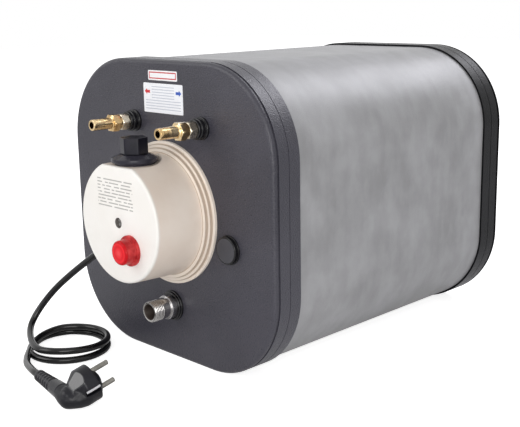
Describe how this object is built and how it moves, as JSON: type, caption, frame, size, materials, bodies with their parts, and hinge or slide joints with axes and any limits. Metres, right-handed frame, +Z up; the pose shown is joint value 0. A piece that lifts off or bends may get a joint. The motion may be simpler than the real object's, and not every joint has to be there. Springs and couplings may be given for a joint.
{
  "type": "caravan water heater",
  "caption": "Square foam-lined electric water heater for a caravan, with end caps, a round heater cover, brass hose tails, a threaded nipple and a mains lead with a plug.",
  "frame": {"origin": "middle of the floor under the heater, with the lead left out of the measure", "axes": "+Z up, -Y out of the front cap with the heater cover and the water connections, +X to the right seen from the front"},
  "size_m": [0.3, 0.5262, 0.3],
  "materials": {
    "casing_grey": "matte sheet metal",
    "cap_charcoal": "fine textured",
    "cap_black": "fine textured",
    "foam_white": "expanded foam",
    "tank_steel": "brushed",
    "rubber_black": "satin",
    "brass_pale": "polished",
    "brass": "polished",
    "stainless": "turned",
    "trim_black": "satin",
    "ivory_plastic": "soft gloss",
    "screw_dark": "blackened",
    "zinc_steel": "zinc plated",
    "element_sheath": "heat-tinted",
    "stat_dark": "moulded",
    "white_plastic": "moulded",
    "button_red": "moulded",
    "lens_red": "translucent",
    "neon_glass": "clear",
    "cord_black": "smooth",
    "plug_charcoal": "satin",
    "pin_nickel": "polished"
  },
  "bodies": {
    "heater": {"outer_casing": "casing_grey", "front_cap": "cap_charcoal", "rear_cap": "cap_black", "insulation_upper": "foam_white", "insulation_lower": "foam_white", "tank": "tank_steel", "tank_neck": "tank_steel", "hot_pipe": "tank_steel", "cold_pipe": "tank_steel", "heater_flange": "tank_steel", "sensor_pocket": "tank_steel", "hot_grommet": "rubber_black", "cold_grommet": "rubber_black", "nipple_grommet": "rubber_black", "flange_gasket": "rubber_black", "hot_locknut": "brass_pale", "cold_locknut": "brass_pale", "hot_hose_tail": "brass", "cold_hose_tail": "brass", "terminal_screws": "brass", "threaded_nipple": "stainless", "nipple_collar": "stainless", "blanking_plug": "trim_black", "cutout_nut": "trim_black", "lamp_nut": "trim_black", "cord_gland_body": "trim_black", "cord_gland_nut": "trim_black", "cord_gland_locknut": "trim_black", "heater_cover": "ivory_plastic", "base_ring": "ivory_plastic", "cover_screw": "screw_dark", "centre_pillar": "zinc_steel", "flange_bolts": "zinc_steel", "bracket_pillars": "zinc_steel", "inner_bracket": "zinc_steel", "heating_element": "element_sheath", "thermostat_body": "stat_dark", "cutout_body": "stat_dark", "lamp_body": "stat_dark", "terminal_block": "white_plastic", "lamp_lens": "lens_red", "neon_bulb": "neon_glass", "cord_lead": "cord_black", "cord_coil": "cord_black", "cord_tail": "cord_black", "plug_relief": "plug_charcoal", "plug_body": "plug_charcoal", "plug_pins": "pin_nickel", "plug_earth_clips": "pin_nickel"},
    "reset_cap": {"reset_cap": "trim_black"},
    "reset_button": {"reset_button": "button_red"},
    "thermostat_spindle": {"thermostat_spindle": "white_plastic"}
  },
  "joints": [
    {"name": "reset_cap_turn", "type": "hinge", "parent": "heater", "child": "reset_cap", "pos_m": [0.004, -0.18575, 0.2193], "axis": [0, 0, 1], "continuous": true},
    {"name": "reset_button_press", "type": "slide", "parent": "heater", "child": "reset_button", "axis": [0, 0, -1], "range_m": [0, 0.0015], "stiffness_N_per_m": 600},
    {"name": "thermostat_set", "type": "hinge", "parent": "heater", "child": "thermostat_spindle", "pos_m": [-0.008, -0.19675, 0.1313], "axis": [0, -1, 0], "range_deg": [0, 270]}
  ]
}
